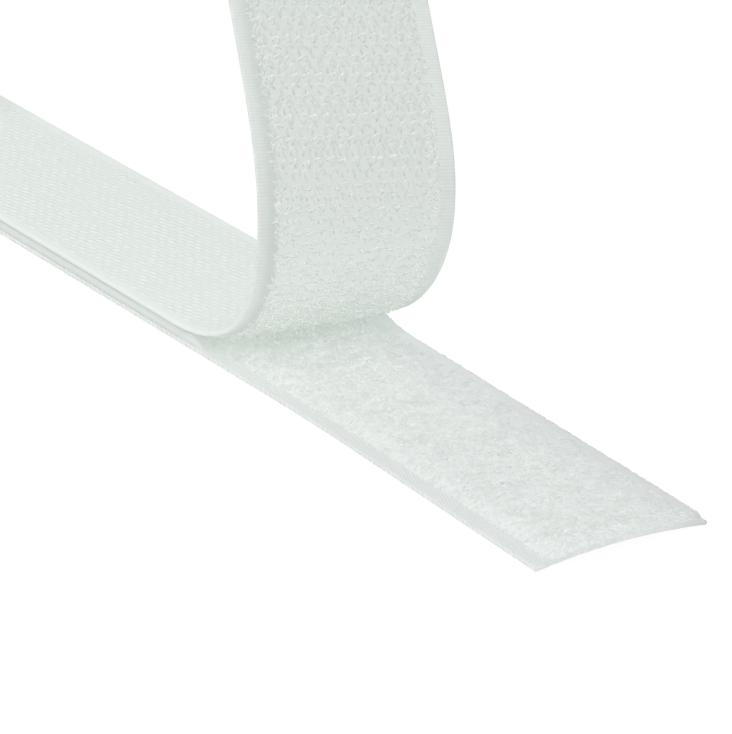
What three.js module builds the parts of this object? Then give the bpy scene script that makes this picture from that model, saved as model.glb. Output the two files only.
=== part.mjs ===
// A roll of 25 mm hook and loop tape, in millimetres, +Z up. The two tapes lie face to face and are wound
// together on a cardboard core. The last stretch is drawn off along the floor towards +X, and there the hook
// tape is peeled up and back from the loop tape. The origin is on the underside of the loop tape, on its
// centre line, below the line where the peel starts.
import * as THREE from "three";

// Tape
const TAPE_WIDTH = 25;
const TAPE_LENGTH = 2000;
const LOOP_WEB = 0.5;
const HOOK_WEB = 0.4;
const HOOK_BACKING = 0.15;
const PILE_DEPTH = 1.35;
const SELVEDGE = 2.2;
const NAP_HEIGHT = 0.9;

// Roll
const CORE_BORE = 25.4;
const CORE_WALL = 2.5;
const CORE_SIDES = 36;
const STEPS_PER_TURN = 16;
const MATED_LENGTH = 155;

// Peeled hook tape, by arc length from the peel line
const BEND_RADIUS = 14.2;
const BEND_AT = 34.4;
const BEND_RISE = 28.3;
const BEND_FALL = 11.5;
const PEEL_TWIST = THREE.MathUtils.degToRad(-12.3);
const TWIST_AT = 30.2;
const TWIST_SPREAD = 9.1;
const STILL_TURN = THREE.MathUtils.degToRad(10);
const LAST_TURN = THREE.MathUtils.degToRad(6);
const LINKS = 5;
const STILL_STEPS = 4;

// Cut end, shared by both tapes
const FREE_LENGTH = 94.7;
const CUT_SLANT = 6.6;
const FREE_YAW = THREE.MathUtils.degToRad(-2.2);
const YAW_FROM = 18;
const YAW_OVER = 40;
const END_CROWN = 0.8;
const CROWN_OVER = 55;
const FREE_STEPS = 10;
const CROWN_COLUMNS = 7;

// Hooks
const HOOK_ROW_PITCH = 2.5;
const HOOKS_PER_ROW = 8;
const HOOK_HEIGHT = 1.05;
const HOOK_REACH = 1.0;
const HOOK_BEAK = 0.5;
const HOOK_WIRE = 0.32;
const HOOK_CROWN_SHARE = 0.45;
const HOOK_CROWN_GIRTH = 0.9;
const HOOK_TIP_GIRTH = 0.6;
const HOOK_STAGGER = 0.25;

// Clearances
const LAYER_GAP = 0.05;
const WIND_GAP = 0.2;
const JOIN_GAP = 0.3;
const LINK_GAP = 0.4;
const CORE_GAP = 0.3;

// Sizes that follow from those
const PILE_TOP = LOOP_WEB + PILE_DEPTH;
const STACK = PILE_TOP + LAYER_GAP + HOOK_BACKING + LAYER_GAP + HOOK_WEB;
const WIND_PITCH = STACK + WIND_GAP;
const HALF_WIDTH = TAPE_WIDTH / 2;
const PILE_HALF = HALF_WIDTH - SELVEDGE;
const CORE_RADIUS = CORE_BORE / 2 + CORE_WALL;
const LEAD = STACK;
const INNER_RADIUS = CORE_RADIUS + CORE_GAP + STACK;
const WOUND_LENGTH = TAPE_LENGTH - MATED_LENGTH - FREE_LENGTH;
const ROLL_RADIUS = Math.sqrt(INNER_RADIUS ** 2 + (WIND_PITCH * WOUND_LENGTH) / Math.PI);
const TURNS = (ROLL_RADIUS - INNER_RADIUS) / WIND_PITCH;
const ROLL_X = -MATED_LENGTH;
const RUN_START = ROLL_X + LEAD + JOIN_GAP;
const RUN_CLEAR = ROLL_X + ROLL_RADIUS / 3;
const BACKING_LOW = -HOOK_WEB / 2 - LAYER_GAP - HOOK_BACKING;

// A surface through points, from triangles that name them three at a time.
function skin(points, faces) {
  const geometry = new THREE.BufferGeometry().setFromPoints(points);
  geometry.setIndex(faces);
  geometry.computeVertexNormals();
  return geometry;
}

// A closed skin through rings of points, one ring per station, each ring convex and in the same order.
function loft(rings) {
  const around = rings[0].length;
  const faces = [];
  for (let i = 0; i + 1 < rings.length; i++) {
    for (let j = 0; j < around; j++) {
      const a = i * around + j;
      const b = i * around + ((j + 1) % around);
      faces.push(a, b, b + around, a, b + around, a + around);
    }
  }
  // Each end is zipped shut from the two points where its ring starts and ends.
  const last = (rings.length - 1) * around;
  for (let low = 0, high = around - 1; low + 1 < high; low++, high--) {
    const cap = [low, low + 1, high];
    if (low + 1 < high - 1) cap.push(low + 1, high - 1, high);
    faces.push(...cap.map((index) => last + index));
    faces.push(...cap.reverse());
  }
  return skin(rings.flat(), faces);
}

// The outline of a layer at one station, from half its width, its lower and upper height and the number of
// columns across it. place(side, height) gives the point of the layer there.
function layerRing(place, half, low, high, columns) {
  const sides = shares(columns).map((share) => half * (2 * share - 1));
  const bottom = sides.map((side) => place(side, low));
  const top = sides.map((side) => place(side, high)).reverse();
  return [...bottom, ...top];
}

// Points beside and above a station of a tape's path.
function placeAt(station) {
  return (side, height) =>
    station.point
      .clone()
      .addScaledVector(station.across, side)
      .addScaledVector(station.up, height);
}

function flatLayer(stations, half, low, high) {
  return loft(stations.map((station) => layerRing(placeAt(station), half, low, high, 1)));
}

const shares = (steps) => Array.from({ length: steps + 1 }, (_, i) => i / steps);
const smoothStep = (x, from, over) => THREE.MathUtils.smoothstep(x, from, from + over);
const bell = (x, at, spread) => Math.exp(-(((x - at) / spread) ** 2));

// Winding: from the inner end on the core out to the floor, then a short straight lead. The stations lie on
// the back of the loop tape, which is the outer one, and point inwards.
function windingStations() {
  const stations = [];
  const steps = Math.floor(TURNS * STEPS_PER_TURN);
  const across = new THREE.Vector3(0, 1, 0);
  for (let i = steps; i >= 0; i--) {
    const turn = i / STEPS_PER_TURN;
    const angle = turn * 2 * Math.PI;
    const radius = ROLL_RADIUS - WIND_PITCH * turn;
    const out = new THREE.Vector3(-Math.sin(angle), 0, -Math.cos(angle));
    const point = new THREE.Vector3(ROLL_X, 0, ROLL_RADIUS).addScaledVector(out, radius);
    stations.push({ point, across, up: out.negate() });
  }
  const end = new THREE.Vector3(ROLL_X + LEAD, 0, 0);
  stations.push({ point: end, across, up: new THREE.Vector3(0, 0, 1) });
  return stations;
}

// The least distance between the two faces of one wound layer, a turn apart, measured on its points.
function gapToItself(stations, low, high) {
  const faces = stations.map(({ point, up }) => ({
    outer: point.clone().addScaledVector(up, low),
    inner: point.clone().addScaledVector(up, high),
  }));
  let least = Infinity;
  for (let i = 0; i < faces.length; i++) {
    for (let j = i + STEPS_PER_TURN / 2; j < faces.length; j++) {
      least = Math.min(least, faces[i].outer.distanceTo(faces[j].inner));
    }
  }
  return least;
}

// Straight stretch on the floor, from the roll, past where the roll hangs close over it, to the peel line.
function runStations() {
  return [RUN_START, RUN_CLEAR, 0].map((x) => ({
    point: new THREE.Vector3(x, 0, 0),
    across: new THREE.Vector3(0, 1, 0),
    up: new THREE.Vector3(0, 0, 1),
  }));
}

// Peel curve: the middle of the hook web, with its frame turned step by step by the bend and the twist.
const CURVE_STEP = 0.25;
function peelCurve(length) {
  const stations = [];
  const point = new THREE.Vector3(0, 0, STACK - HOOK_WEB / 2);
  const along = new THREE.Vector3(1, 0, 0);
  const across = new THREE.Vector3(0, 1, 0);
  let turned = 0;
  for (let s = 0; s <= length + CURVE_STEP; s += CURVE_STEP) {
    const up = new THREE.Vector3().crossVectors(along, across);
    stations.push({ s, turned, point: point.clone(), along: along.clone(), across: across.clone(), up });
    const middle = s + CURVE_STEP / 2;
    const bend = bell(middle, BEND_AT, middle < BEND_AT ? BEND_RISE : BEND_FALL) / BEND_RADIUS;
    const twist = (PEEL_TWIST * bell(middle, TWIST_AT, TWIST_SPREAD)) / (TWIST_SPREAD * Math.sqrt(Math.PI));
    const axis = along.clone().multiplyScalar(twist).addScaledVector(across, -bend);
    const angle = axis.length() * CURVE_STEP;
    axis.normalize();
    point.addScaledVector(along, CURVE_STEP / 2);
    along.applyAxisAngle(axis, angle);
    across.applyAxisAngle(axis, angle);
    point.addScaledVector(along, CURVE_STEP / 2);
    turned += bend * CURVE_STEP;
  }
  return stations;
}

const PEEL = peelCurve(FREE_LENGTH + CUT_SLANT);
const FULL_TURN = PEEL[PEEL.length - 1].turned;

// The station at an arc length, between the two nearest ones of the curve.
function peelAt(s) {
  const index = Math.min(Math.floor(s / CURVE_STEP), PEEL.length - 2);
  const first = PEEL[index];
  const next = PEEL[index + 1];
  const share = s / CURVE_STEP - index;
  return {
    point: first.point.clone().lerp(next.point, share),
    across: first.across.clone().lerp(next.across, share).normalize(),
    up: first.up.clone().lerp(next.up, share).normalize(),
  };
}

const lengthAtTurn = (turn) => PEEL.find((station) => station.turned >= turn).s;

// Links: each turns through an equal share of the bend, and the last one is the straight free end.
const linkShare = (FULL_TURN - STILL_TURN - LAST_TURN) / (LINKS - 1);
const linkStarts = Array.from({ length: LINKS }, (_, i) => lengthAtTurn(STILL_TURN + i * linkShare));
const linkEnds = [...linkStarts.slice(1), FREE_LENGTH];

// The end cut: how much longer the tape is at a place across it than on its centre line.
const cutAt = (side) => (-CUT_SLANT * side) / TAPE_WIDTH;

// One link of the peeled tape, clear of its neighbours by half the gap at each end. place(share, side, height)
// gives a point of it by the share of its length, and the last link's far end follows the slanted cut.
function peelLink(index) {
  const last = index === LINKS - 1;
  const from = linkStarts[index] + LINK_GAP / 2;
  const to = linkEnds[index] - (last ? 0 : LINK_GAP / 2);
  const rows = Math.round((to - from) / HOOK_ROW_PITCH);
  const lengthAt = (share, side) => from + share * (to - from + (last ? cutAt(side) : 0));
  const place = (share, side, height) => placeAt(peelAt(lengthAt(share, side)))(side, height);
  return { rows, lengthAt, place };
}

// A layer of one link, with one facet for each hook of each row.
function linkLayer(link, half, low, high) {
  const rings = shares(link.rows).map((share) =>
    layerRing((side, height) => link.place(share, side, height), half, low, high, HOOKS_PER_ROW),
  );
  return loft(rings);
}

// The three rings of one hook, a bent three-sided wire: from its root on the backing over a crown to a beak
// that points back. lean is the side that it bends to, and each ring past the root is turned square to the wire.
function hookRings(root, station, lean) {
  const along = new THREE.Vector3().crossVectors(station.across, station.up);
  const crown = HOOK_CROWN_SHARE * HOOK_REACH;
  const rise = Math.atan2(crown, HOOK_HEIGHT);
  const fall = Math.PI - Math.atan2(HOOK_REACH - crown, HOOK_BEAK);
  const spine = [
    { reach: 0, depth: 0, girth: 1, turn: 0 },
    { reach: crown, depth: HOOK_HEIGHT, girth: HOOK_CROWN_GIRTH, turn: (rise + fall) / 2 },
    { reach: HOOK_REACH, depth: HOOK_HEIGHT - HOOK_BEAK, girth: HOOK_TIP_GIRTH, turn: fall },
  ];
  return spine.map(({ reach, depth, girth, turn }) =>
    hookSection((girth * HOOK_WIRE) / 2).map(({ x, y }) =>
      root
        .clone()
        .addScaledVector(station.across, lean * reach + x * Math.cos(turn))
        .addScaledVector(along, y)
        .addScaledVector(station.up, lean * x * Math.sin(turn) - depth),
    ),
  );
}

const hookSection = (radius) =>
  [0, 1, 2].map((corner) => {
    const angle = (corner * 2 * Math.PI) / 3;
    return new THREE.Vector2(radius * Math.cos(angle), radius * Math.sin(angle));
  });

// The hooks of one link, one skin with the slice of backing that they stand on: each facet of the backing's
// lower face opens into one hook. Every other row is staggered by half a pitch and leans the other way.
function hookField(link) {
  const points = [];
  const faces = [];
  const addPoint = (point) => points.push(point) - 1;
  const columns = shares(HOOKS_PER_ROW).map((share) => PILE_HALF * (2 * share - 1));
  const grid = (height) =>
    shares(link.rows).map((share) => columns.map((side) => addPoint(link.place(share, side, height))));
  const lower = grid(BACKING_LOW);
  const upper = grid(BACKING_LOW + HOOK_BACKING);
  const addQuad = (a, b, c, d) => faces.push(a, b, c, a, c, d);
  const pitch = columns[1] - columns[0];

  const addHook = (row, column, lean) => {
    const side = columns[column] + (0.5 - lean * HOOK_STAGGER) * pitch;
    const root = link.place(row / link.rows, side, BACKING_LOW);
    root.lerp(link.place((row + 1) / link.rows, side, BACKING_LOW), 0.5);
    const station = peelAt(link.lengthAt((row + 0.5) / link.rows, side));
    const rings = hookRings(root, station, lean).map((ring) => ring.map(addPoint));
    for (let i = 0; i + 1 < rings.length; i++) {
      rings[i].forEach((a, j) => {
        const next = (j + 1) % rings[i].length;
        addQuad(a, rings[i][next], rings[i + 1][next], rings[i + 1][j]);
      });
    }
    faces.push(...rings.at(-1));

    // The facet around the root, laid flat: across the tape and along it.
    const flat = (place, rowShare) => new THREE.Vector2(place, link.lengthAt(rowShare / link.rows, place));
    const outline = [[row, column], [row, column + 1], [row + 1, column + 1], [row + 1, column]];
    const contour = outline.map(([i, j]) => flat(columns[j], i));
    const middle = flat(side, row + 0.5);
    const hole = hookSection(HOOK_WIRE / 2).map((corner) => corner.add(middle)).reverse();
    const corners = [...outline.map(([i, j]) => lower[i][j]), ...[...rings[0]].reverse()];
    for (const face of THREE.ShapeUtils.triangulateShape(contour, [hole])) {
      faces.push(...face.map((index) => corners[index]));
    }
  };

  for (let row = 0; row < link.rows; row++) {
    const lean = row % 2 ? 1 : -1;
    for (let column = 0; column < HOOKS_PER_ROW; column++) {
      addHook(row, column, lean);
      const [a, b] = [upper[row], upper[row + 1]];
      addQuad(a[column], b[column], b[column + 1], a[column + 1]);
    }
    const end = HOOKS_PER_ROW;
    addQuad(lower[row][0], lower[row + 1][0], upper[row + 1][0], upper[row][0]);
    addQuad(lower[row + 1][end], lower[row][end], upper[row][end], upper[row + 1][end]);
  }
  for (let column = 0; column < HOOKS_PER_ROW; column++) {
    const [first, last] = [0, link.rows];
    addQuad(lower[first][column], upper[first][column], upper[first][column + 1], lower[first][column + 1]);
    addQuad(lower[last][column], lower[last][column + 1], upper[last][column + 1], upper[last][column]);
  }
  return skin(points, faces);
}

// The loop tape past the peel line: it drifts a little to one side, and crowns towards its cut end.
function loopPoint(distance, side, height) {
  const share = THREE.MathUtils.clamp((distance - YAW_FROM) / YAW_OVER, 0, 1);
  const yaw = FREE_YAW * smoothStep(distance, YAW_FROM, YAW_OVER);
  const eased = YAW_OVER * (share ** 3 - share ** 4 / 2);
  const drift = Math.sin(FREE_YAW) * (eased + Math.max(0, distance - YAW_FROM - YAW_OVER));
  const crown = END_CROWN * smoothStep(distance, FREE_LENGTH - CROWN_OVER, CROWN_OVER);
  const arch = crown * (1 - (side / HALF_WIDTH) ** 2);
  return new THREE.Vector3(
    distance - side * Math.sin(yaw),
    drift + side * Math.cos(yaw),
    height + arch,
  );
}

// A layer of the loop tape through the given distances from the peel line. Past the line its rings slant more
// and more, up to the slant of the cut.
function loopLayer(distances, half, low, high) {
  const rings = distances.map((distance) => {
    const share = Math.max(0, distance / FREE_LENGTH);
    const place = (side, height) => loopPoint(distance + share * cutAt(side), side, height);
    return layerRing(place, half, low, high, CROWN_COLUMNS);
  });
  return loft(rings);
}

// Materials
const wovenNylon = new THREE.MeshStandardMaterial({ color: 0xe2e8e4, roughness: 0.75, metalness: 0 });
const loopNylon = new THREE.MeshStandardMaterial({ color: 0xdee2e0, roughness: 0.95, metalness: 0 });
const hookNylon = new THREE.MeshStandardMaterial({ color: 0xd9deda, roughness: 0.35, metalness: 0 });
const cardboard = new THREE.MeshStandardMaterial({ color: 0xb3946b, roughness: 0.9, metalness: 0 });

const roll = new THREE.Group();
function add(name, geometry, material) {
  const mesh = new THREE.Mesh(geometry, material);
  mesh.name = name;
  roll.add(mesh);
  return mesh;
}

// Core: a plain tube, cut to the tape's width, lying across the tape.
const coreProfile = [
  [CORE_BORE / 2, -HALF_WIDTH],
  [CORE_RADIUS, -HALF_WIDTH],
  [CORE_RADIUS, HALF_WIDTH],
  [CORE_BORE / 2, HALF_WIDTH],
  [CORE_BORE / 2, -HALF_WIDTH],
].map(([x, y]) => new THREE.Vector2(x, y));
const core = add("core_tube", new THREE.LatheGeometry(coreProfile, CORE_SIDES), cardboard);
core.position.set(ROLL_X, 0, ROLL_RADIUS);

// The three wound layers.
const winding = windingStations();
const woundLayers = [
  ["loop_web_wound", HALF_WIDTH, 0, LOOP_WEB, wovenNylon],
  ["pile_wound", PILE_HALF, LOOP_WEB + LAYER_GAP, PILE_TOP, loopNylon],
  ["hook_web_wound", HALF_WIDTH, PILE_TOP + LAYER_GAP, STACK, wovenNylon],
];
for (const [name, half, low, high, material] of woundLayers) {
  add(name, flatLayer(winding, half, low, high), material);
  console.log(name, "least gap to itself", gapToItself(winding, low, high).toFixed(2), "mm");
}

// The straight stretch, with the two tapes still pressed together.
const run = runStations();
add("pile_run", flatLayer(run, PILE_HALF, LOOP_WEB + LAYER_GAP, PILE_TOP), loopNylon);

// The loop tape's web runs on to its cut end, and its nap stands free past the peel line.
const freeSteps = shares(FREE_STEPS).map((share) => THREE.MathUtils.lerp(YAW_FROM, FREE_LENGTH, share));
const napBottom = LOOP_WEB + LAYER_GAP;
add("loop_web_run", loopLayer([RUN_START, ...freeSteps], HALF_WIDTH, 0, LOOP_WEB), wovenNylon);
add("loop_nap", loopLayer([JOIN_GAP, ...freeSteps], PILE_HALF, napBottom, LOOP_WEB + NAP_HEIGHT), loopNylon);

// The hook tape's web as far as the first link, with the start of its bend.
const stillEnd = linkStarts[0] - LINK_GAP / 2;
const stillStations = shares(STILL_STEPS).map((share) => peelAt(share * stillEnd));
const stillRings = stillStations.map((station) =>
  layerRing(placeAt(station), HALF_WIDTH, BACKING_LOW, HOOK_WEB / 2, 1),
);
const runRings = run
  .slice(0, -1)
  .map((station) => layerRing(placeAt(station), HALF_WIDTH, PILE_TOP + LAYER_GAP, STACK, 1));
add("hook_web_run", loft([...runRings, ...stillRings]), wovenNylon);

// The peeled hook tape: the first link still has its hooks among the loops, the others carry free hooks.
for (let i = 0; i < LINKS; i++) {
  const link = peelLink(i);
  const caught = i === 0;
  const plain = () => linkLayer(link, PILE_HALF, BACKING_LOW, BACKING_LOW + HOOK_BACKING);
  add(`peel_web_${i + 1}`, linkLayer(link, HALF_WIDTH, -HOOK_WEB / 2, HOOK_WEB / 2), wovenNylon);
  add(`peel_hooks_${i + 1}`, caught ? plain() : hookField(link), hookNylon);
}

export default roll;
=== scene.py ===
"""Looks for a roll of hook and loop tape whose free end is peeled open.

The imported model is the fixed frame. Its solids are replaced by woven webs, bent hooks, a napped pile
and a wound core, all of them in the same frame and in the same places. Sizes are in millimetres until a
mesh is written.
"""

import logging
import math
from dataclasses import dataclass, field
from enum import Enum
from typing import Any, Callable

import bpy
import numpy as np
from mathutils import Euler, Matrix, Vector


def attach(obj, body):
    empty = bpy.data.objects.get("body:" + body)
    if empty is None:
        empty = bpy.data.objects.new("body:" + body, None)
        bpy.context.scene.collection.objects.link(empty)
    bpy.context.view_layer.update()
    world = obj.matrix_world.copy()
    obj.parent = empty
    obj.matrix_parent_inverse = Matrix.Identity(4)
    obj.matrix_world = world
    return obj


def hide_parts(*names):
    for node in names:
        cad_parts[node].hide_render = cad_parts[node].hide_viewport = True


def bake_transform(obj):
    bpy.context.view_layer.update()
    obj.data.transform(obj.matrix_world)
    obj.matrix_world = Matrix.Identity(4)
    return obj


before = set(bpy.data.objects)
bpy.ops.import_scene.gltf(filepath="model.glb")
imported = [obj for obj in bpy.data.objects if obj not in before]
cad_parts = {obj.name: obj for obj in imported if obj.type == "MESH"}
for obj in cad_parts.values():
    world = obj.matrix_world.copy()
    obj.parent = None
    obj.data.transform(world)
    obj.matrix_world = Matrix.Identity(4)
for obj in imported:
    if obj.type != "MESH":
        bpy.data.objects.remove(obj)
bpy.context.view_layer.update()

LOG = logging.getLogger("tape_roll")
MM = 0.001
SEAM = 0.001
TAPE_MAP = "UVMap"
TONE = "tone"
Colour = tuple[float, float, float, float]
Spot = tuple[float, float, float]
Span = tuple[float, float]
Points = np.ndarray
Place = Callable[[np.ndarray, np.ndarray, Any], np.ndarray]
Slant = Callable[[np.ndarray, np.ndarray], np.ndarray]


class Body(Enum):
    """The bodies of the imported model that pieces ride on."""

    ROLL = "roll"
    PEEL_1 = "peel_1"
    PEEL_2 = "peel_2"
    PEEL_3 = "peel_3"
    PEEL_4 = "peel_4"
    PEEL_5 = "peel_5"


class Slot(Enum):
    """The record's material slots."""

    WOVEN = "woven_nylon"
    PILE = "loop_pile"
    HOOKS = "hook_nylon"
    BOARD = "paper_board"


class Side(Enum):
    """The faces of a web, by the number of their material."""

    UPPER = 0
    LOWER = 1
    EDGE = 2
    CUT = 3


class Wire:
    """A number on its way through a material's nodes, which takes part in Python expressions."""

    def __init__(self, graph: "Graph", socket: bpy.types.NodeSocket) -> None:
        """Keeps the socket that the number comes out of."""
        self.graph = graph
        self.socket = socket

    def __add__(self, other: "Wire | float") -> "Wire":
        """Sum."""
        return self.graph.maths("ADD", self, other)

    def __radd__(self, other: float) -> "Wire":
        """Sum, with a plain number first."""
        return self.graph.maths("ADD", other, self)

    def __sub__(self, other: "Wire | float") -> "Wire":
        """Difference."""
        return self.graph.maths("SUBTRACT", self, other)

    def __rsub__(self, other: float) -> "Wire":
        """Difference, with a plain number first."""
        return self.graph.maths("SUBTRACT", other, self)

    def __mul__(self, other: "Wire | float") -> "Wire":
        """Product."""
        return self.graph.maths("MULTIPLY", self, other)

    def __rmul__(self, other: float) -> "Wire":
        """Product, with a plain number first."""
        return self.graph.maths("MULTIPLY", other, self)

    def __truediv__(self, other: "Wire | float") -> "Wire":
        """Quotient."""
        return self.graph.maths("DIVIDE", self, other)

    def __pow__(self, other: "Wire | float") -> "Wire":
        """Power."""
        return self.graph.maths("POWER", self, other)

    def __abs__(self) -> "Wire":
        """Distance from zero."""
        return self.graph.maths("ABSOLUTE", self)

    def __mod__(self, other: float) -> "Wire":
        """Remainder that never goes below zero."""
        return self.graph.maths("FLOORED_MODULO", self, other)

    def floor(self) -> "Wire":
        """Whole part."""
        return self.graph.maths("FLOOR", self)

    def wave(self, length: float) -> "Wire":
        """A wave from 0 to 1 that repeats over a length."""
        return self.graph.maths("SINE", self * (2 * math.pi / length)) * 0.5 + 0.5

    def rise(self, low: float, high: float) -> "Wire":
        """A smooth step.

        Args:
            low: where it is 0.
            high: where it is 1.

        Returns:
            The step.
        """
        ramp = self.graph.node(
            "ShaderNodeMapRange",
            {"interpolation_type": "SMOOTHSTEP"},
            {"Value": self, "From Min": low, "From Max": high},
        )
        return Wire(self.graph, ramp.outputs["Result"])


class Graph:
    """The nodes of one material or of the world."""

    def __init__(self, tree: bpy.types.NodeTree) -> None:
        """Keeps the tree that the nodes go into."""
        self.tree = tree

    def node(self, kind: str, settings: dict[str, Any], sockets: dict[Any, Any]) -> bpy.types.Node:
        """Adds any node.

        Args:
            kind: the node's type.
            settings: its properties, which are set first.
            sockets: a value or a link for each of its inputs, by name or number.

        Returns:
            The new node.
        """
        made = self.tree.nodes.new(kind)
        for name, value in settings.items():
            setattr(made, name, value)
        for key, value in sockets.items():
            self.plug(value, made.inputs[key])
        return made

    def plug(self, value: Any, socket: bpy.types.NodeSocket) -> None:
        """Links a wire or a socket to an input, or sets a plain value on it.

        Args:
            value: the wire, the socket or the value.
            socket: the input.
        """
        if isinstance(value, Wire):
            self.tree.links.new(value.socket, socket)
        elif isinstance(value, bpy.types.NodeSocket):
            self.tree.links.new(value, socket)
        else:
            socket.default_value = value

    def maths(self, operation: str, *values: "Wire | float") -> Wire:
        """One Math node on wires and plain numbers."""
        made = self.node("ShaderNodeMath", {"operation": operation}, dict(enumerate(values)))
        return Wire(self, made.outputs[0])

    def mix(self, factor: Wire, low: Any, high: Any) -> bpy.types.NodeSocket:
        """A colour between two others."""
        made = self.node("ShaderNodeMix", {"data_type": "RGBA"}, {"Factor": factor, 6: low, 7: high})
        return made.outputs[2]

    def seen(self) -> Wire:
        """Tells the light that the camera sees from other light.

        Returns:
            1 for what the camera sees directly, in a gloss or through glass, and 0 for other light.
        """
        path = self.node("ShaderNodeLightPath", {}, {})
        camera, gloss, clear = (
            Wire(self, path.outputs[name])
            for name in ("Is Camera Ray", "Is Glossy Ray", "Is Transmission Ray")
        )
        return self.maths("MAXIMUM", self.maths("MAXIMUM", camera, gloss), clear)


class Paint(Graph):
    """The nodes of one material, which feed a principled shader."""

    def __init__(self, name: str) -> None:
        """Starts a material with a lone principled shader.

        Args:
            name: the material's name.
        """
        self.material = bpy.data.materials.new(name)
        self.material.use_nodes = True
        super().__init__(self.material.node_tree)
        self.shader = self.tree.nodes["Principled BSDF"]

    def tape_places(self) -> tuple[Wire, Wire]:
        """Reads places on a tape from its UV map.

        Returns:
            The places along the tape and across it, in millimetres.
        """
        uv = self.node("ShaderNodeUVMap", {"uv_map": TAPE_MAP}, {})
        parts = self.node("ShaderNodeSeparateXYZ", {}, {"Vector": uv.outputs["UV"]})
        return Wire(self, parts.outputs["X"]), Wire(self, parts.outputs["Y"])

    def noise(self, scale: float, detail: float, vector: Any = None) -> Wire:
        """A cloudy value around a half.

        Args:
            scale: how fine it is.
            detail: how many finer layers it has.
            vector: what it lies on, which is the object's own coordinates unless it is given.

        Returns:
            The value.
        """
        if vector is None:
            vector = self.node("ShaderNodeTexCoord", {}, {}).outputs["Object"]
        made = self.node("ShaderNodeTexNoise", {}, {"Vector": vector, "Scale": scale, "Detail": detail})
        return Wire(self, made.outputs["Fac"])

    def attribute(self, name: str) -> Wire:
        """A number that is kept on the mesh."""
        made = self.node("ShaderNodeAttribute", {"attribute_name": name}, {})
        return Wire(self, made.outputs["Fac"])

    def bump(self, height: Wire, depth: float) -> None:
        """Feeds a height to the shader's normal, at a depth in millimetres."""
        made = self.node("ShaderNodeBump", {}, {"Height": height, "Distance": depth * MM, "Strength": 1.0})
        self.plug(made.outputs["Normal"], self.shader.inputs["Normal"])

    def fix(self, values: dict[str, float]) -> None:
        """Sets plain values on the shader, by the names of its sockets."""
        for name, value in values.items():
            self.shader.inputs[name].default_value = value

    def cloth(self, roughness: float, sheen: float) -> None:
        """Makes the shader white nylon yarn, with the pale bloom of fine fibres."""
        self.fix({"Roughness": roughness, "Specular IOR Level": 0.03})
        self.fix({"Sheen Weight": sheen, "Sheen Roughness": 0.5})

    def colour(self, socket: Any) -> None:
        """Feeds the shader's base colour."""
        self.plug(socket, self.shader.inputs["Base Color"])


@dataclass(frozen=True)
class TwillBack:
    """The plain back of the hook tape: short floats of yarn in slanting rows."""

    light: Colour = (0.862, 0.908, 0.878, 1.0)
    dark: Colour = (0.79, 0.838, 0.808, 1.0)
    slant: float = math.radians(13)
    float_length: float = 1.8
    float_pitch: float = 0.95
    depth: float = 0.13
    wander: float = 0.45
    field_half: float = 10.8

    def build(self) -> bpy.types.Material:
        """Makes the material.

        Returns:
            The material.
        """
        graph = Paint("woven_back")
        along, across = graph.tape_places()
        bend = (graph.noise(700, 1) - 0.5) * self.wander
        run = along * math.cos(self.slant) + across * math.sin(self.slant) + bend
        rise = across * math.cos(self.slant) - along * math.sin(self.slant) + bend
        row = (rise / self.float_pitch).floor()
        shift = (row % 2) * 0.5 + (row % 7) * 0.09
        step = run / self.float_length + shift
        place = step % 1.0
        cell = graph.node("ShaderNodeCombineXYZ", {}, {"X": step.floor(), "Y": row})
        chance = graph.node(
            "ShaderNodeTexWhiteNoise",
            {"noise_dimensions": "2D"},
            {"Vector": cell.outputs[0]},
        )
        own = Wire(graph, chance.outputs["Value"]) * 0.8 + 0.2
        level = (rise / self.float_pitch) % 1.0
        hump = (1 - abs(place * 2 - 1) ** 2) * (1 - abs(level * 2 - 1) ** 2)
        drift = graph.noise(1500, 3)
        # random patches of flatter, worn floats
        wear_and_painted_lift = graph.noise(60, 2).rise(0.35, 0.6) * 0.3 + 0.7
        plain = abs(across).rise(self.field_half, self.field_half + 0.4)
        height = hump * own * wear_and_painted_lift * (1 - plain) + plain * 0.4 + drift * 0.4
        graph.colour(graph.mix(height.rise(0.2, 1.1), self.dark, self.light))
        graph.bump(height, self.depth)
        graph.cloth(roughness=0.6, sheen=0.1)
        return graph.material


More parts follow.
